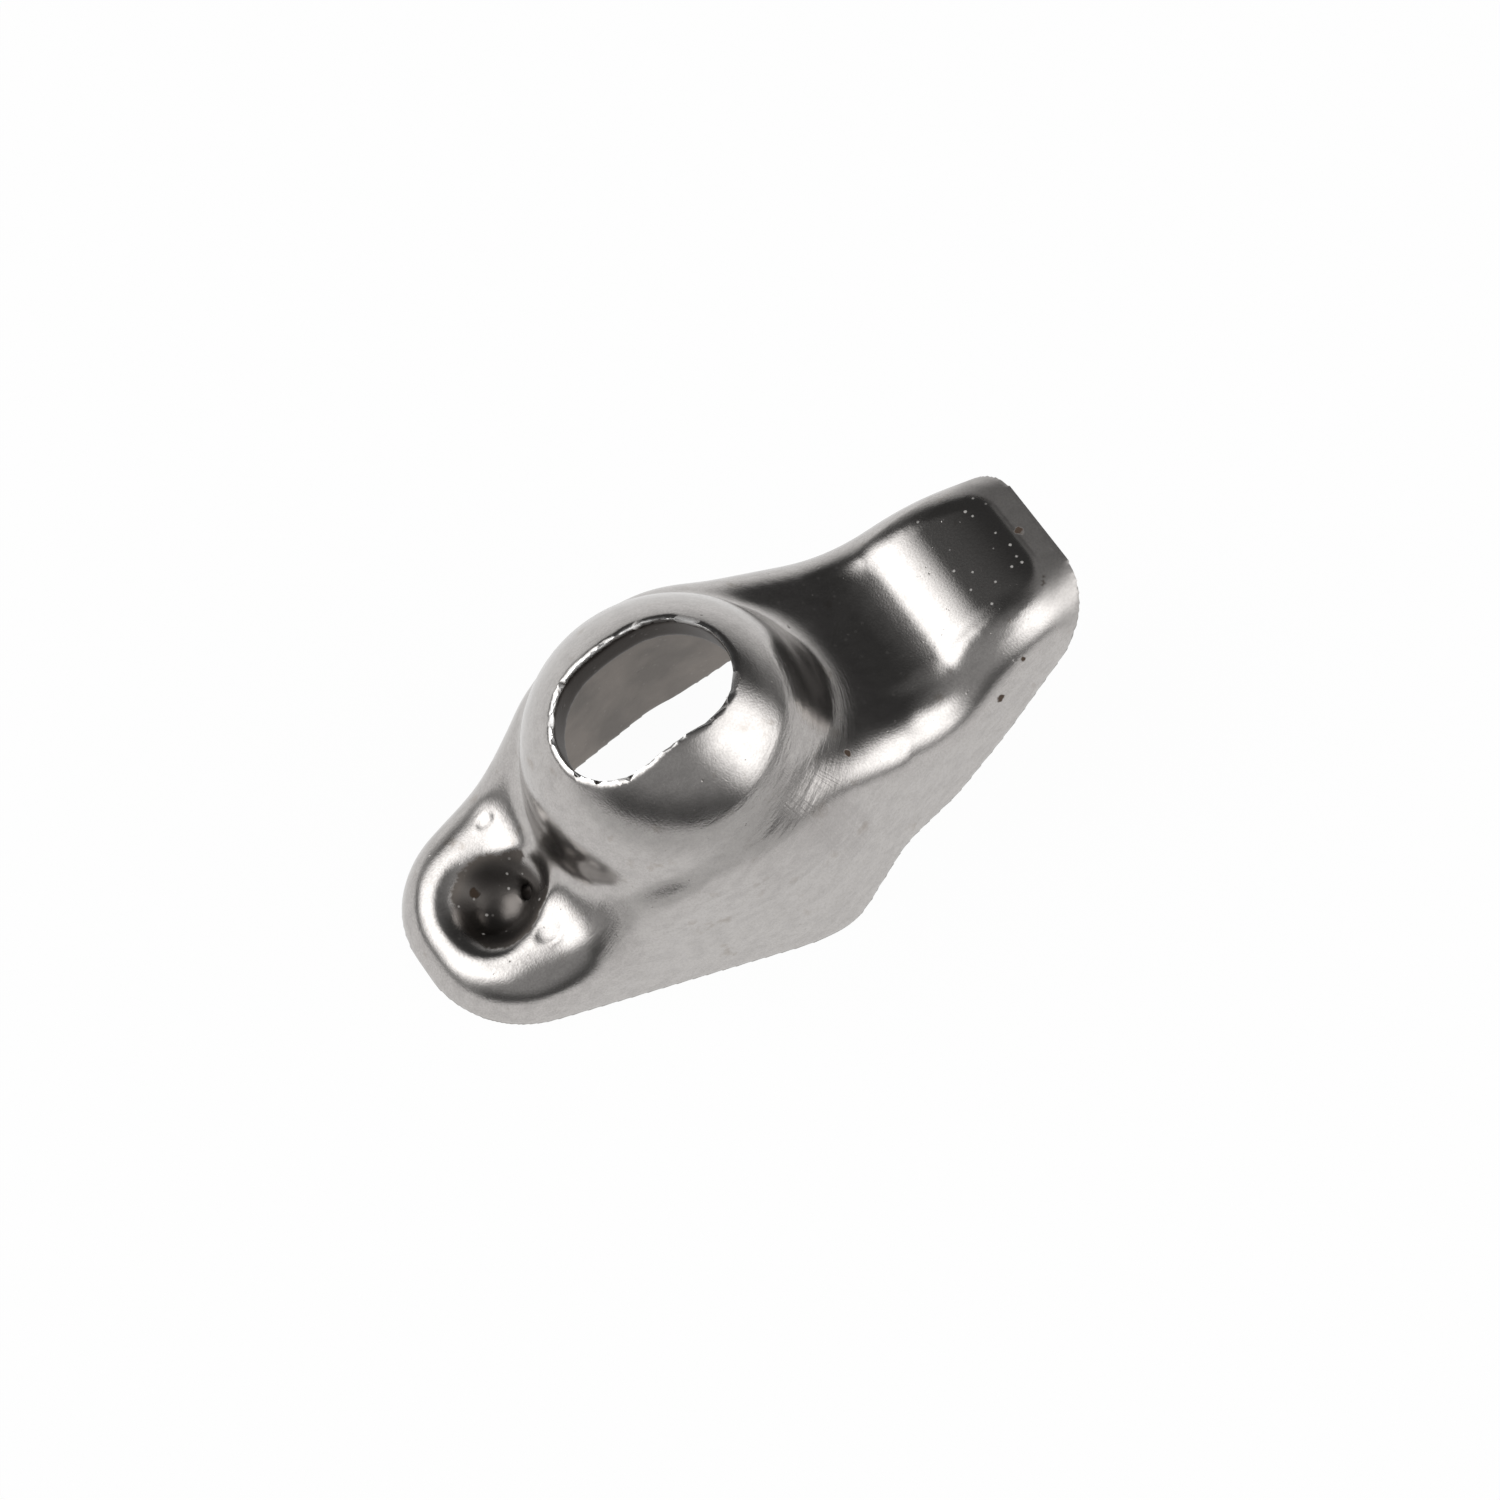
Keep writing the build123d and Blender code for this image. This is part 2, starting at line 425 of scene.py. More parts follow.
def normals_of(piece):
    """Vertex normals as an array."""
    normals = np.zeros(len(piece.data.vertices) * 3, np.float32)
    piece.data.vertex_normals.foreach_get("vector", normals)
    return normals.reshape(-1, 3).astype(float)


def give_group(piece, name, weights):
    """Vertex group with these weights."""
    group = piece.vertex_groups.new(name=name)
    for level in range(1, GROUP_LEVELS + 1):
        chosen = np.nonzero(np.round(weights * GROUP_LEVELS) == level)[0]
        if len(chosen):
            group.add(chosen.tolist(), level / GROUP_LEVELS, "REPLACE")


def soften(piece, name, weights, passes):
    """Smooths the mesh by these weights."""
    give_group(piece, name, weights)
    apply_modifier(piece, "SMOOTH", name, factor=0.5, iterations=passes, vertex_group=name)


def give_attribute(piece, name, values):
    """Point attribute that the material reads."""
    attribute = piece.data.attributes.new(name, "FLOAT", "POINT")
    attribute.data.foreach_set("value", np.asarray(values, np.float32))


def smooth_step(low, high, values):
    """0 below low, 1 above high, with a soft rise between."""
    share = np.clip((values - low) / (high - low), 0, 1)
    return share * share * (3 - 2 * share)


def band(values, low_start, low_end, high_start, high_end):
    """1 between two soft ends, 0 outside them."""
    return smooth_step(low_start, low_end, values) * (1 - smooth_step(high_start, high_end, values))


def sharp_edge_tree(piece, angle, step):
    """Search tree of points along the edges that fold more than angle."""
    mesh = bmesh.new()
    mesh.from_mesh(piece.data)
    points = []
    for edge in mesh.edges:
        if len(edge.link_faces) == 2 and edge.calc_face_angle() > angle:
            start, end = (vertex.co.copy() for vertex in edge.verts)
            count = max(1, math.ceil((end - start).length / step))
            points += [start.lerp(end, i / count) for i in range(count + 1)]
    mesh.free()
    tree = kdtree.KDTree(len(points))
    for i, point in enumerate(points):
        tree.insert(point, i)
    tree.balance()
    return tree


def stud_frame(vectors, lean):
    """Parts of these vectors along the arm, across it and along the leaning stud axis."""
    cos, sin = math.cos(lean), math.sin(lean)
    return (
        cos * vectors[:, 0] + sin * vectors[:, 2],
        vectors[:, 1],
        cos * vectors[:, 2] - sin * vectors[:, 0],
    )


def slot_outline(x, y):
    """Distance from the stud slot's outline in millimetres, less than 0 inside it."""
    return np.hypot(np.maximum(np.abs(x - SLOT_X) - SLOT_HALF, 0), y) - SLOT_RADIUS


def pad_outline(x, y, near):
    """Distance from the coined pad's outline in millimetres, less than 0 inside it."""
    out_x = np.maximum(x - (PAD_END - PAD_CORNER), 0)
    out_y = np.maximum(np.maximum(y - (PAD_HALF - PAD_CORNER), -(near - PAD_CORNER) - y), 0)
    return np.maximum(np.hypot(out_x, out_y) - PAD_CORNER, PAD_START - x)


def pad_skin(x, y):
    """Height of the skin before the pad was coined."""
    crown = CROWN_Z + np.sqrt(CROWN_RADIUS**2 - np.clip(x - CROWN_X, *CROWN_SPAN) ** 2)
    ridge = np.where(x < CROWN_END, crown, NOSE_Z - NOSE_FALL * (x - PAD_X))
    level_half = SHOULDER_HALF - SHOULDER_TAPER * (x - PAD_X)
    roll = np.clip(np.abs(y) - level_half, 0, SHOULDER_REACH)
    return ridge - (SHOULDER_RADIUS - np.sqrt(SHOULDER_RADIUS**2 - roll**2))


def valley_skin(x):
    """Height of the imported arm's skin along the valley."""
    fall = SADDLE_Z - SADDLE_FALL * (x - SADDLE_X)
    bend = BEND_Z - np.sqrt(BEND_RADIUS**2 - np.clip(x - BEND_X, *BEND_SPAN) ** 2)
    climb = CLIMB_Z + CLIMB_SLOPE * (x - BEND_END)
    return np.where(x < BEND_START, fall, np.where(x < BEND_END, bend, climb))


def valley_floor(x):
    """Height of the worn, broader valley floor."""
    height = FLOOR_Z
    for start, length, radius, sine, cosine in FLOOR_ARCS:
        slope = sine - np.clip(x - start, 0, length) / radius
        height = height - radius * (np.sqrt(1 - slope**2) - cosine)
    return height


def patch(x, y, mid_x, mid_y, size_x, size_y):
    """Distance from the middle of an oval patch, 1 at its border."""
    return np.hypot((x - mid_x) / size_x, (y - mid_y) / size_y)


class ROCKER_OT_stamped_arm(bpy.types.Operator):
    """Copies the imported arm, evens its mesh, marks its finishes and wears it"""

    bl_idname = "rocker.stamped_arm"
    bl_label = "Stamped arm"

    def execute(self, context):
        shape = context.scene.rocker_arm_shape
        node = frame["nodes"][ARM_NODE]
        only(node)
        bpy.ops.object.duplicate()
        arm = context.object
        arm.name = ARM_NAME
        arm.data.name = ARM_NAME
        arm.parent = None
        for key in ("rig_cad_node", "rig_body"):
            del arm[key]

        bpy.ops.object.mode_set(mode="EDIT")
        bpy.ops.mesh.select_all(action="SELECT")
        bpy.ops.mesh.customdata_custom_splitnormals_clear()
        bpy.ops.mesh.remove_doubles(threshold=MERGE_DISTANCE)
        bpy.ops.object.mode_set(mode="OBJECT")
        edges = sharp_edge_tree(arm, shape.sharp_angle, EDGE_STEP)
        apply_modifier(
            arm,
            "REMESH",
            "even mesh",
            mode="SHARP",
            octree_depth=REMESH_DEPTH,
            scale=shape.mesh_scale,
            sharpness=1.0,
            use_remove_disconnected=False,
            use_smooth_shade=True,
        )
        self.close_mesh(arm)
        apply_modifier(
            arm, "SHRINKWRAP", "onto the pressing", target=node, wrap_method="NEAREST_SURFACEPOINT"
        )
        places = points_of(arm)
        away = np.array([edges.find(Vector(place))[2] for place in places])
        soften(arm, "facets", smooth_step(*FACETS_FADE, away), shape.smoothing)
        soften(arm, "edges", 1 - smooth_step(*EDGES_FADE, away), EDGE_PASSES)
        self.soften_bends(arm, shape)
        self.mark_finishes(arm, shape)
        self.wear(arm, shape)
        only(arm)
        bpy.ops.object.shade_smooth_by_angle(angle=SHADE_ANGLE)
        arm.data.materials.clear()
        arm.data.materials.append(steel_material(context.scene.rocker_arm_finish, shape.lean))
        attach(arm, "root")
        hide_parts(ARM_NODE)
        return {"FINISHED"}

    def close_mesh(self, arm):
        """Takes out the few pinched vertices and fills their places."""
        only(arm)
        bpy.ops.object.mode_set(mode="EDIT")
        bpy.ops.mesh.select_mode(type="VERT")
        bpy.ops.mesh.select_all(action="DESELECT")
        bpy.ops.mesh.select_non_manifold()
        bpy.ops.mesh.delete(type="VERT")
        bpy.ops.mesh.select_all(action="SELECT")
        bpy.ops.mesh.delete_loose(use_verts=True, use_edges=True, use_faces=True)
        bpy.ops.mesh.select_all(action="SELECT")
        bpy.ops.mesh.fill_holes(sides=0)
        bpy.ops.mesh.normals_make_consistent(inside=False)
        bpy.ops.object.mode_set(mode="OBJECT")

    def soften_bends(self, arm, shape):
        """Softens the foot of the dome, the land round the cup and the near shoulder."""
        x, y, z = stud_frame(points_of(arm) / MM, shape.lean)
        foot = band(np.hypot(x, y), *FOOT_BAND)
        foot = foot * smooth_step(*FOOT_ALONG, x) * smooth_step(*FOOT_ACROSS, -y) * (z > FOOT_LOW)
        soften(arm, "foot", foot, FOOT_PASSES)
        above_rim = points_of(arm)[:, 2] / MM - CAD_BOX[0].z / MM
        land = smooth_step(*LAND_ROUND_CUP, np.hypot(x - CUP_X, y)) * (1 - smooth_step(*LAND_ALONG, x))
        land *= smooth_step(*LAND_ABOVE_RIM, above_rim) * (z > LAND_LOW)
        soften(arm, "land", land, LAND_PASSES)
        shoulder = band(x, *SHOULDER_BAND) * smooth_step(*SHOULDER_INSIDE, -y) * (z > SHOULDER_LOW)
        shoulder = shoulder * (1 - smooth_step(*SHOULDER_OUTSIDE, -y))
        soften(arm, "shoulder", shoulder, SHOULDER_PASSES)
        arm.vertex_groups.clear()

    def mark_finishes(self, arm, shape):
        """Attributes for the coined pad, the cup, the sheared edges, the hollow and the tool marks, with
        painted shade in the cup, the hollow and the oil hole.
        """
        x, y, z = stud_frame(points_of(arm) / MM, shape.lean)
        _, across, up = stud_frame(normals_of(arm), shape.lean)
        far = np.sqrt(x**2 + y**2 + z**2)
        in_pad = 1 - smooth_step(*PAD_FADE, pad_outline(x, y, shape.pad_edge / MM))
        give_attribute(arm, "pad", in_pad * (up > FACING_UP))
        # The cup's bowl is painted dark, as oil and as painted shade in the recess
        in_cup = 1 - smooth_step(*CUP_FADE, np.hypot(x - CUP_X, y))
        give_attribute(arm, "cup", in_cup * (1 - smooth_step(*CUP_DEPTH, z)))
        give_attribute(arm, "tip", smooth_step(*TIP_FADE, x) * (1 - in_pad))
        # The slot's broken edge carries the notching and a painted glint
        side = slot_outline(x, y)
        edge = np.hypot(np.maximum(side, 0), np.maximum(DOME_RADIUS - far, 0))
        give_attribute(arm, "burr", (1 - smooth_step(*BURR_FADE, edge)) * (z > SLOT_LOW))
        # Painted shade: the inside of the oil hole is painted as dark as the torn band
        along = OIL_SIN * (x - CUP_X) - OIL_COS * (z - CUP_Z)
        off = np.hypot(OIL_COS * (x - CUP_X) + OIL_SIN * (z - CUP_Z), y)
        shaded_bore = (off < OIL_RADIUS) & (along > OIL_START)
        torn = (np.abs(side) < CUT_HALF) & (z > SLOT_LOW) & (far < CUT_END)
        give_attribute(arm, "cut", torn | shaded_bore)
        # The arm's inside, facing in or down, is painted darker, as oil and as painted shade
        socket = (far < SOCKET_RADIUS) & (z > SOCKET_LOW)
        give_attribute(arm, "hollow", (across * np.sign(y) < WALL_LEAN) | (up < ROOF_LEAN) | socket)
        arcs = band(np.hypot(x, y), *ARC_BAND)
        arcs = arcs * smooth_step(*ARC_ALONG, x) * smooth_step(*ARC_ACROSS, -y) * (z > ARC_LOW)
        give_attribute(arm, "arcs", arcs)
        hatch = 1 - smooth_step(*PATCH_FADE, patch(x, y, *HATCH))
        give_attribute(arm, "hatch", hatch * (z > HATCH_LOW))
        comb = 1 - smooth_step(*PATCH_FADE, patch(x, y, *COMB))
        give_attribute(arm, "comb", comb * (z > COMB_LOW))

    def wear(self, arm, shape):
        """Moves the skin at the pad's border, the valley, the cup's lip, the dents and the slot."""
        places = points_of(arm) / MM
        x, y, z = stud_frame(places, shape.lean)
        _, _, up = stud_frame(normals_of(arm), shape.lean)
        rise = np.zeros(len(x))

        # Metal left standing round the near edge and the tip of the coined pad
        inner = pad_outline(x, y, shape.pad_edge / MM)
        struck = pad_outline(x, y, PAD_HALF)
        gap = pad_skin(x, y) - z
        gap[(gap < 0) | (gap > COIN_GAP) | (up < NOT_UNDER)] = 0
        left = np.maximum(smooth_step(*LEFT_EDGE, inner), smooth_step(*LEFT_TIP, x))
        rise += gap * left * (struck < COIN_REACH)

        # Broad floor of the valley, up to the step where the pad starts
        level = band(x, *FLOOR_BAND)
        level *= 1 - smooth_step(*FLOOR_ACROSS, np.abs(y))
        rise += (valley_floor(x) - valley_skin(x)) * level * ((up > FACING_UP) & (z > FLOOR_LOW))

        # Wide roll of the cup's lip, away from the dome
        out = np.hypot(x - CUP_X, y)
        lip = LAND_Z - LIP_FALL * np.clip(LIP_END - out, 0, LIP_REACH) ** LIP_POWER
        aside = 1 - smooth_step(*LIP_ASIDE, (x - CUP_X) / np.maximum(out, 0.01))
        rolled = (out > LIP_START) & (out < LIP_END) & (z > LIP_LOW) & (up > NOT_UNDER)
        rise -= aside * np.maximum(z - lip, 0) * rolled

        # Dents with a flat floor and a raised lip
        for *oval, deep in DENTS:
            apart = patch(x, y, *oval)
            bowl = smooth_step(DENT_FLOOR, 1.0, apart) - 1
            ring = DENT_LIP_HEIGHT * np.exp(-(((apart - DENT_LIP_AT) / DENT_LIP_WIDTH) ** 2))
            rise += deep * (bowl + ring) * ((up > DENT_UP) & (z > DENT_LOW))
        sin, cos = math.sin(shape.lean), math.cos(shape.lean)
        places += rise[:, None] * np.array([-sin, 0.0, cos])

        # Broken edge of the slot
        burr = np.zeros(len(x), np.float32)
        arm.data.attributes["burr"].data.foreach_get("value", burr)
        normals = normals_of(arm)
        for i in np.nonzero(burr)[0]:
            coarse = noise.noise(Vector(places[i] * BURR_COARSE))
            fine = noise.noise(Vector(places[i] * BURR_FINE))
            ragged = BURR_EVEN_SHARE + BURR_COARSE_SHARE * coarse + BURR_FINE_SHARE * fine
            places[i] -= normals[i] * burr[i] * shape.burr / MM * min(max(ragged, 0), 1)
        arm.data.vertices.foreach_set("co", (places * MM).astype(np.float32).ravel())
        arm.data.update()

        # Evened edge of the slot, border of the pad and roll of the cup's lip
        edge = (1 - smooth_step(*SLOT_FADE, np.abs(slot_outline(x, y)))) * (z > SLOT_LOW)
        soften(arm, "slot edge", edge, SLOT_PASSES)
        border = 1 - smooth_step(*BORDER_FADE, np.minimum(np.abs(struck), np.abs(inner)))
        soften(arm, "border", border * ((up > NOT_UNDER) & (z > BORDER_LOW)), BORDER_PASSES)
        far_edge = border * smooth_step(*FAR_FADE, y) * ((up > FAR_UP) & (z > BORDER_LOW))
        soften(arm, "far edge", far_edge, FAR_PASSES)
        roll = band(out, *LIP_BAND) * (z > LIP_BAND_LOW) * (up > ROLL_UP)
        soften(arm, "roll", roll * (LIP_DOME_SHARE + (1 - LIP_DOME_SHARE) * aside), ROLL_PASSES)
        arm.vertex_groups.clear()


class ROCKER_OT_stage(bpy.types.Operator):
    """Adds the floor, the soft lamps, the world and the camera"""

    bl_idname = "rocker.stage"
    bl_label = "Floor, lamps and camera"

    def execute(self, context):
        stage = context.scene.rocker_arm_stage
        low = CAD_BOX[0]
        bpy.ops.object.select_all(action="DESELECT")
        bpy.ops.mesh.primitive_circle_add(
            vertices=FLOOR_CORNERS, radius=FLOOR_RADIUS, fill_type="NGON", location=(0, 0, low.z)
        )
        floor = context.object
        floor.name = "white_floor"
        floor.data.materials.append(floor_material())
        self.lamp("left_softbox", *LEFT_LAMP, stage.left_strength)
        self.lamp("right_softbox", *RIGHT_LAMP, stage.right_strength)
        self.world()
        self.camera(context, stage)
        return {"FINISHED"}

    def lamp(self, name, azimuth, elevation, distance, size, strength):
        """Rectangular lamp aimed at the arm, with a face of this brightness that fades to its edges."""
        turn, rise = math.radians(azimuth), math.radians(elevation)
        towards = Vector(
            (math.cos(turn) * math.cos(rise), math.sin(turn) * math.cos(rise), math.sin(rise))
        )
        bpy.ops.object.light_add(type="AREA", location=towards * distance)
        lamp = bpy.context.object
        lamp.name = name
        lamp.rotation_mode = "QUATERNION"
        lamp.rotation_quaternion = towards.to_track_quat("Z", "Y")
        lamp.data.shape = "RECTANGLE"
        lamp.data.size, lamp.data.size_y = size
        lamp.data.energy = strength * math.pi * size[0] * size[1]
        lamp.data.use_nodes = True
        tree = lamp.data.node_tree
        tree.nodes.clear()
        face = add_node(tree, "ShaderNodeNewGeometry").outputs["Parametric"]
        part = add_node(tree, "ShaderNodeSeparateXYZ", inputs={0: face})
        light = 1.0
        for side in part.outputs[:2]:
            for low, high in LAMP_FADES:
                light = calculate(tree, "MULTIPLY", fade(tree, side, low, high), light)
        glow = add_node(tree, "ShaderNodeEmission", inputs={"Strength": light})
        add_node(tree, "ShaderNodeOutputLight", inputs={"Surface": glow.outputs[0]})

    def world(self):
        """Dim room with a dark horizon in front and a white sweep low behind the arm."""
        world = bpy.data.worlds.new("dim_room")
        bpy.context.scene.world = world
        world.use_nodes = True
        tree = world.node_tree
        tree.nodes.clear()
        way = add_node(tree, "ShaderNodeTexCoord").outputs["Generated"]
        near = towards_front(tree, way)
        height = add_node(tree, "ShaderNodeSeparateXYZ", inputs={0: way}).outputs[2]
        horizon = fade(tree, height, *HORIZON)
        dim = mix_number(tree, fade(tree, near, *HORIZON_SIDE), 1.0, horizon)
        room = calculate(tree, "MULTIPLY", fade(tree, near, *WALLS), dim)
        behind = fade(tree, near, *SWEEP_SIDE)
        sweep = calculate(tree, "MULTIPLY", behind, fade(tree, height, *SWEEP_HEIGHT))
        light = mix_number(tree, sweep, room, 1.0)
        back = add_node(tree, "ShaderNodeBackground", inputs={"Color": light})
        add_node(tree, "ShaderNodeOutputWorld", inputs={"Surface": back.outputs[0]})

    def camera(self, context, stage):
        """Camera at the photograph's angle."""
        a, e = stage.azimuth, stage.elevation
        back = Vector((math.sin(a) * math.cos(e), -math.cos(a) * math.cos(e), math.sin(e)))
        right = Vector((math.cos(a), math.sin(a), 0.0))
        place = back * stage.distance + right * stage.aside
        bpy.ops.object.camera_add(location=place)
        camera = context.object
        camera.rotation_mode = "QUATERNION"
        camera.rotation_quaternion = (-back).to_track_quat("-Z", "Y")
        camera.data.lens = stage.lens
        camera.data.sensor_width = SENSOR_WIDTH
        camera.data.clip_start, camera.data.clip_end = CLIP
        context.scene.camera = camera
        context.scene.view_settings.view_transform = "Standard"


def add_node(tree, kind, settings=None, inputs=None):
    """Adds a node, sets its settings, and sets or links its inputs."""
    node = tree.nodes.new(kind)
    for key, value in (settings or {}).items():
        setattr(node, key, value)
    for key, value in (inputs or {}).items():
        if isinstance(value, bpy.types.NodeSocket):
            tree.links.new(value, node.inputs[key])
        else:
            node.inputs[key].default_value = value
    return node


def new_tree(name):
    """Empty material and its node tree."""
    material = bpy.data.materials.new(name)
    material.use_nodes = True
    material.node_tree.nodes.clear()
    return material, material.node_tree


def calculate(tree, operation, first, second):
    """Result of a math node."""
    return add_node(tree, "ShaderNodeMath", {"operation": operation}, {0: first, 1: second}).outputs[0]


def towards_front(tree, vector):
    """How far the vector reaches towards the front, where the arm is seen from."""
    inputs = {0: vector, 1: FRONT}
    node = add_node(tree, "ShaderNodeVectorMath", {"operation": "DOT_PRODUCT"}, inputs)
    return node.outputs["Value"]


def mix_number(tree, share, low, high):
    """low where share is 0, high where it is 1."""
    node = add_node(
        tree, "ShaderNodeMix", {"data_type": "FLOAT"}, {"Factor": share, "A": low, "B": high}
    )
    return node.outputs[0]


def fade(tree, value, low, high, start=0.0, end=1.0):
    """start where the value is below low, end where it is above high."""
    inputs = {"Value": value, "From Min": low, "From Max": high, "To Min": start, "To Max": end}
    return add_node(tree, "ShaderNodeMapRange", inputs=inputs).outputs["Result"]


def floor_material():
    """White floor that keeps the arm's shadow and, near the arm, shows white in the steel."""
    material, tree = new_tree("white_floor")
    diffuse = add_node(tree, "ShaderNodeBsdfDiffuse", inputs={"Color": FLOOR_COLOR})
    white = add_node(tree, "ShaderNodeEmission", inputs={"Strength": 1.0})
    path = add_node(tree, "ShaderNodeLightPath")
    place = add_node(tree, "ShaderNodeTexCoord").outputs["Object"]
    sheet = fade(tree, towards_front(tree, place), *FLOOR_FADE)
    glossy = calculate(tree, "MULTIPLY", path.outputs["Is Glossy Ray"], sheet)
    seen = calculate(tree, "MAXIMUM", path.outputs["Is Camera Ray"], glossy)
    seen = calculate(tree, "MAXIMUM", seen, path.outputs["Is Transmission Ray"])
    share = calculate(tree, "MULTIPLY", seen, FLOOR_WHITE)
    mix = add_node(
        tree, "ShaderNodeMixShader", inputs={0: share, 1: diffuse.outputs[0], 2: white.outputs[0]}
    )
    add_node(tree, "ShaderNodeOutputMaterial", inputs={"Surface": mix.outputs[0]})
    return material


def steel_material(finish, lean):
    """Worn satin steel, polished on the pad, with oil and painted shade in the cup and hollow, a painted
    glint on the slot's edge, and marks and dirt.
    """
    material, tree = new_tree("bare_steel")

    def number(operation, first, second):
        return calculate(tree, operation, first, second)

    def attribute(name):
        return add_node(tree, "ShaderNodeAttribute", {"attribute_name": name}).outputs["Fac"]

    def grainy(vector, scale, detail=2.0):
        inputs = {"Vector": vector, "Scale": scale, "Detail": detail}
        return add_node(tree, "ShaderNodeTexNoise", inputs=inputs).outputs["Fac"]

    def mix_color(share, first, second):
        inputs = {0: share, 6: first, 7: second}
        return add_node(tree, "ShaderNodeMix", {"data_type": "RGBA"}, inputs).outputs[2]

    place = add_node(tree, "ShaderNodeTexCoord").outputs["Object"]
    stud = add_node(
        tree, "ShaderNodeVectorRotate", {"rotation_type": "Y_AXIS"}, {"Vector": place, "Angle": lean}
    ).outputs[0]
    part = add_node(tree, "ShaderNodeSeparateXYZ", inputs={0: stud})
    flat = add_node(tree, "ShaderNodeCombineXYZ", inputs={0: part.outputs[0], 1: part.outputs[1]})
    radius = add_node(
        tree, "ShaderNodeVectorMath", {"operation": "LENGTH"}, {0: flat.outputs[0]}
    ).outputs["Value"]
    turn = number("ARCTAN2", part.outputs[1], part.outputs[0])

    # Tool marks
    ring_way = add_node(
        tree,
        "ShaderNodeCombineXYZ",
        inputs={0: number("MULTIPLY", radius, RING_SCALE), 1: number("MULTIPLY", turn, RING_TURN)},
    ).outputs[0]
    hatch_way = add_node(
        tree,
        "ShaderNodeCombineXYZ",
        inputs={0: number("MULTIPLY", turn, HATCH_TURN), 1: number("MULTIPLY", radius, HATCH_SCALE)},
    ).outputs[0]
    comb_way = add_node(
        tree,
        "ShaderNodeMapping",
        inputs={"Vector": stud, "Rotation": (0.0, 0.0, COMB_TURN), "Scale": COMB_SCALE},
    ).outputs[0]
    rings = number("MULTIPLY", grainy(ring_way, 1.0), attribute("arcs"))
    hatch = number("MULTIPLY", grainy(hatch_way, 1.0), attribute("hatch"))
    comb = number("MULTIPLY", grainy(comb_way, 1.0), attribute("comb"))
    marks = number("ADD", number("ADD", rings, hatch), comb)

    # Grain, pits and smudges
    grain = grainy(stud, GRAIN_SCALE, GRAIN_DETAIL)
    scuff_way = add_node(
        tree, "ShaderNodeMapping", inputs={"Vector": stud, "Scale": SCUFF_SCALE}
    ).outputs[0]
    scuffs = grainy(scuff_way, 1.0, SCUFF_DETAIL)
    stains = fade(tree, grainy(stud, STAIN_SCALE, STAIN_DETAIL), *STAIN_RANGE)
    pits = fade(tree, grainy(stud, PIT_SCALE), *PIT_RANGE)
    smudge = grainy(stud, SMUDGE_SCALE, SMUDGE_DETAIL)
    pad = attribute("pad")
    cup = attribute("cup")
    cut = attribute("cut")
    burr = attribute("burr")
    hollow = attribute("hollow")

    # Dirt at its places, and dust that shows most on the pad and in the cup
    wobble = add_node(tree, "ShaderNodeTexNoise", inputs={"Vector": stud, "Scale": DIRT_SCALE})
    near = add_node(
        tree,
        "ShaderNodeVectorMath",
        {"operation": "MULTIPLY_ADD"},
        {0: wobble.outputs["Color"], 1: (DIRT_WOBBLE,) * 3, 2: stud},
    ).outputs[0]
    dirt = None
    for x, y, z, size in DIRT:
        spot = [axis * MM + DIRT_WOBBLE / 2 for axis in (x, y, z)]
        away = add_node(tree, "ShaderNodeVectorMath", {"operation": "DISTANCE"}, {0: near, 1: spot})
        mask = fade(tree, away.outputs["Value"], DIRT_CORE * size * MM, size * MM, 1.0, 0.0)
        dirt = mask if dirt is None else number("MAXIMUM", dirt, mask)
    dust_cells = add_node(tree, "ShaderNodeTexVoronoi", inputs={"Vector": stud, "Scale": DUST_SCALE})
    chosen = add_node(tree, "ShaderNodeSeparateColor", inputs={0: dust_cells.outputs["Color"]})
    dust = number(
        "MULTIPLY",
        fade(tree, dust_cells.outputs["Distance"], *DUST_SIZE, 1.0, 0.0),
        fade(tree, chosen.outputs[0], *DUST_CHOSEN),
    )
    smooth = number("MAXIMUM", pad, cup)
    dust = number("MULTIPLY", dust, fade(tree, smooth, 0.0, 1.0, DUST_ELSEWHERE, DUST_ON_PAD))

    # Colour
    dull = tuple(DULL_STEEL * c for c in finish.steel)
    clean = number("MAXIMUM", fade(tree, scuffs, *SCUFF_RANGE), pad)
    tone = mix_color(clean, (*dull, 1.0), (*finish.steel, 1.0))
    color = mix_color(fade(tree, grain, *GRAIN_RANGE, 0.0, GRAIN_TONE), tone, GRAIN_COLOR)
    color = mix_color(number("MULTIPLY", pits, PIT_TONE), color, PIT_COLOR)
    color = mix_color(number("MULTIPLY", stains, STAIN_TONE), color, STAIN_COLOR)
    color = mix_color(number("MULTIPLY", marks, MARK_TONE), color, MARK_COLOR)
    # Painted shade: the arm's inside gets a dark brown that is oil and also the shade inside the channel
    deep = tuple(DULL_HOLLOW * c for c in finish.hollow)
    oily_and_shaded = mix_color(fade(tree, smudge, *SMUDGE_RANGE), (*deep, 1.0), (*finish.hollow, 1.0))
    color = mix_color(number("MULTIPLY", hollow, HOLLOW_TONE), color, oily_and_shaded)
    # Painted shade: the cup's bowl is painted dark as oil and as the shade in the recess
    color = mix_color(cup, color, (*finish.cup, 1.0))
    # Dark torn band in the slot, and painted shade inside the oil hole
    color = mix_color(cut, color, (*finish.cut, 1.0))
    # Painted highlight: the slot's broken edge is painted near white as a glint
    color = mix_color(burr, color, BURR_GLINT_COLOR)
    color = mix_color(dirt, color, DIRT_COLOR)
    color = mix_color(dust, color, DUST_COLOR)

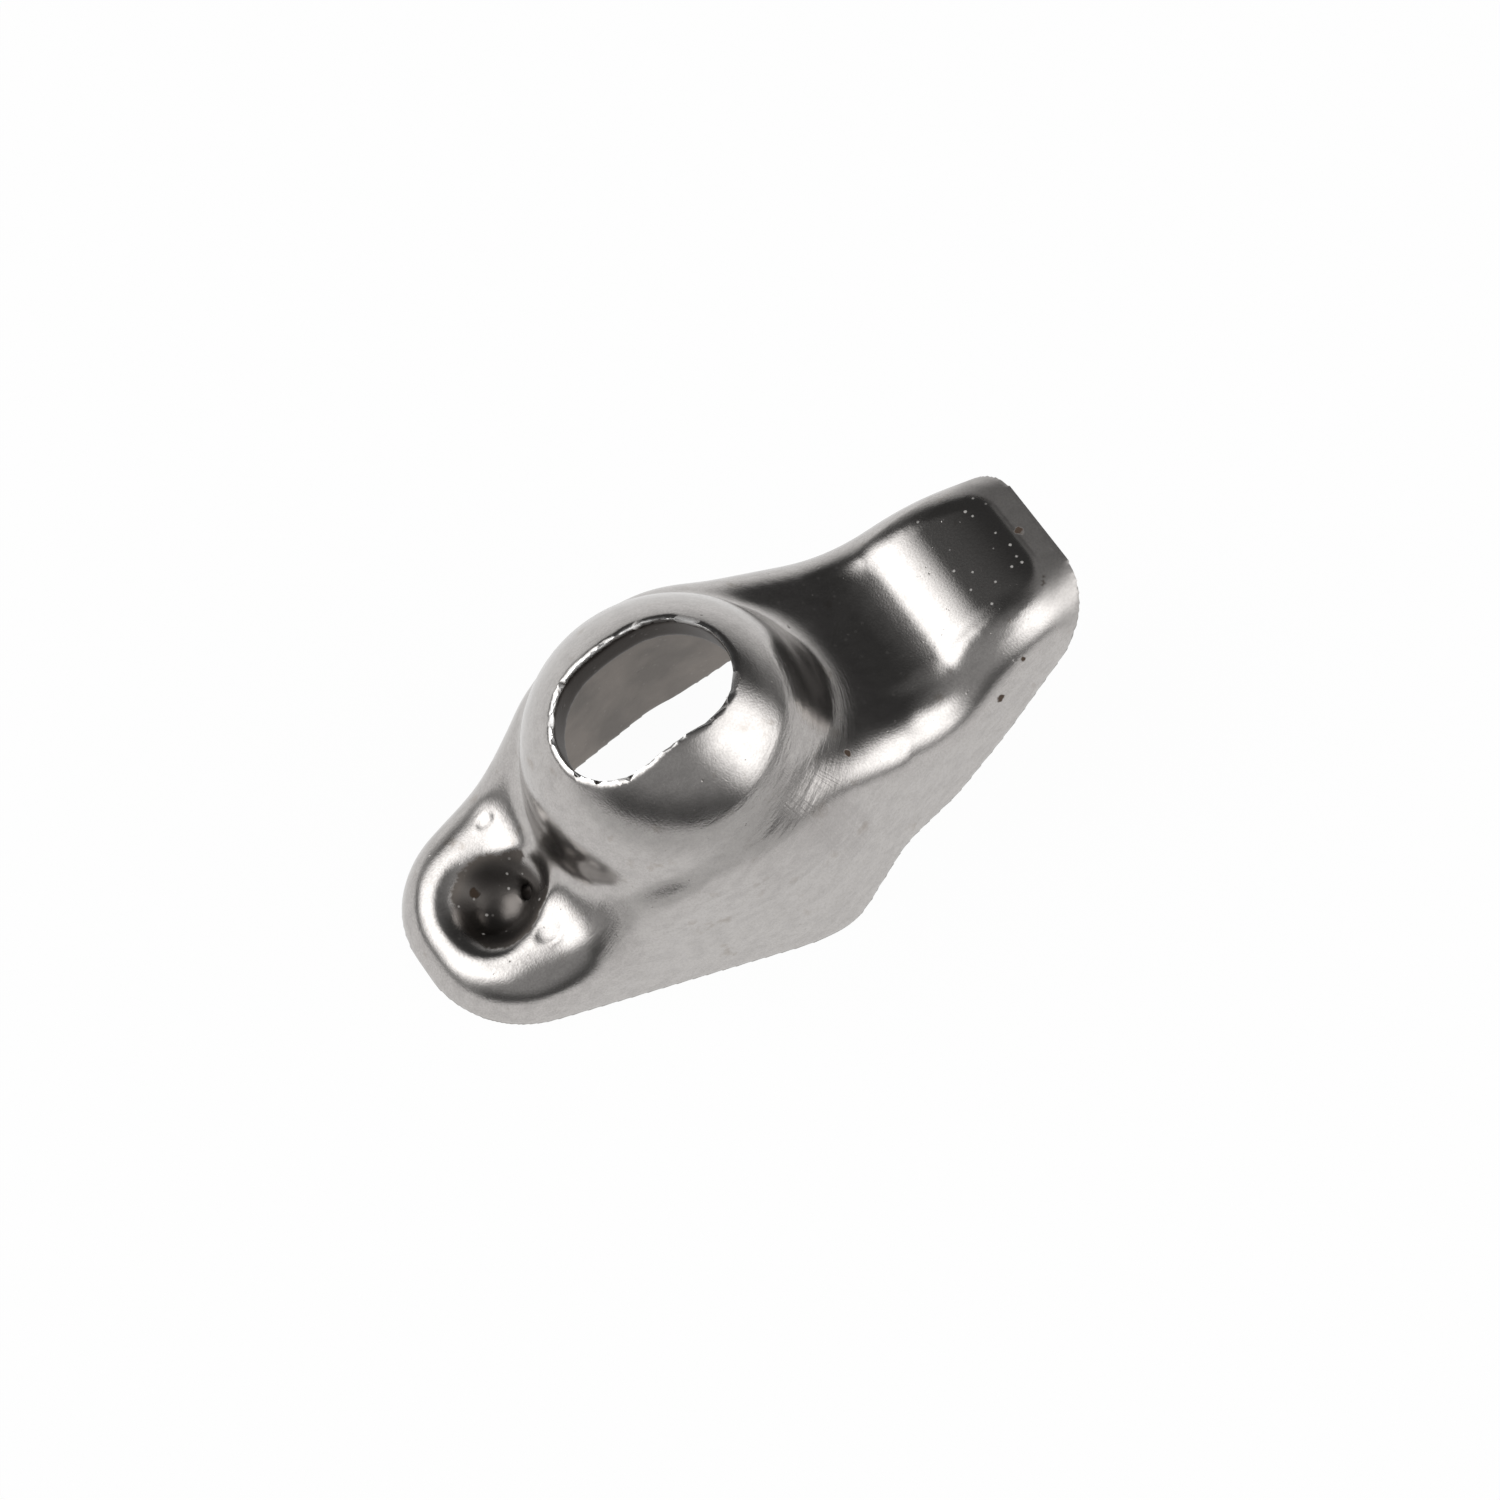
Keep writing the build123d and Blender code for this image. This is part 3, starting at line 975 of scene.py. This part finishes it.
    # Polish and bumps
    skin = finish.skin_roughness
    rough = fade(tree, smudge, *ROUGH_RANGE, skin - ROUGH_LESS, skin + ROUGH_MORE)
    rough = mix_number(tree, attribute("tip"), rough, TIP_ROUGHNESS)
    rough = mix_number(tree, pad, rough, finish.pad_roughness)
    rough = mix_number(tree, cup, rough, CUP_ROUGHNESS)
    rough = mix_number(tree, number("MAXIMUM", cut, hollow), rough, finish.cut_roughness)
    rough = mix_number(tree, dirt, rough, DIRT_ROUGHNESS)
    metal = number("SUBTRACT", 1.0, number("MAXIMUM", dirt, dust))
    fine = add_node(
        tree,
        "ShaderNodeBump",
        inputs={
            "Height": grain,
            "Distance": GRAIN_BUMP,
            "Strength": mix_number(tree, pad, 1.0, PAD_BUMP_STRENGTH),
        },
    )
    worn = add_node(
        tree,
        "ShaderNodeBump",
        inputs={"Height": marks, "Distance": MARK_BUMP, "Strength": 1.0, "Normal": fine.outputs[0]},
    )
    pitted = add_node(
        tree,
        "ShaderNodeBump",
        {"invert": True},
        {"Height": pits, "Distance": PIT_BUMP, "Strength": 1.0, "Normal": worn.outputs[0]},
    )
    surface = add_node(
        tree,
        "ShaderNodeBsdfPrincipled",
        inputs={
            "Base Color": color,
            "Metallic": metal,
            "Roughness": rough,
            "Normal": pitted.outputs["Normal"],
        },
    )
    add_node(tree, "ShaderNodeOutputMaterial", inputs={"Surface": surface.outputs[0]})
    return material


class ROCKER_PT_panel(bpy.types.Panel):
    """Lists the arm's steps and settings"""

    bl_idname = "ROCKER_PT_panel"
    bl_label = "Rocker arm"
    bl_space_type = "VIEW_3D"
    bl_region_type = "UI"
    bl_category = "Rocker Arm"

    def draw(self, context):
        for operator in (ROCKER_OT_stamped_arm, ROCKER_OT_stage):
            self.layout.operator(operator.bl_idname)
        for settings in SETTINGS:
            group = getattr(context.scene, settings)
            for name in group.__annotations__:
                self.layout.prop(group, name)


SETTINGS = {
    "rocker_arm_shape": RockerArmShape,
    "rocker_arm_finish": RockerArmFinish,
    "rocker_arm_stage": RockerArmStage,
}
CLASSES = (*SETTINGS.values(), ROCKER_OT_stamped_arm, ROCKER_OT_stage, ROCKER_PT_panel)


def register():
    for cls in CLASSES:
        bpy.utils.register_class(cls)
    for name, group in SETTINGS.items():
        setattr(bpy.types.Scene, name, PointerProperty(type=group))


def unregister():
    for name in SETTINGS:
        delattr(bpy.types.Scene, name)
    for cls in reversed(CLASSES):
        bpy.utils.unregister_class(cls)


def main():
    register()
    bpy.ops.rocker.stamped_arm()
    bpy.ops.rocker.stage()


if __name__ == "__main__":
    main()
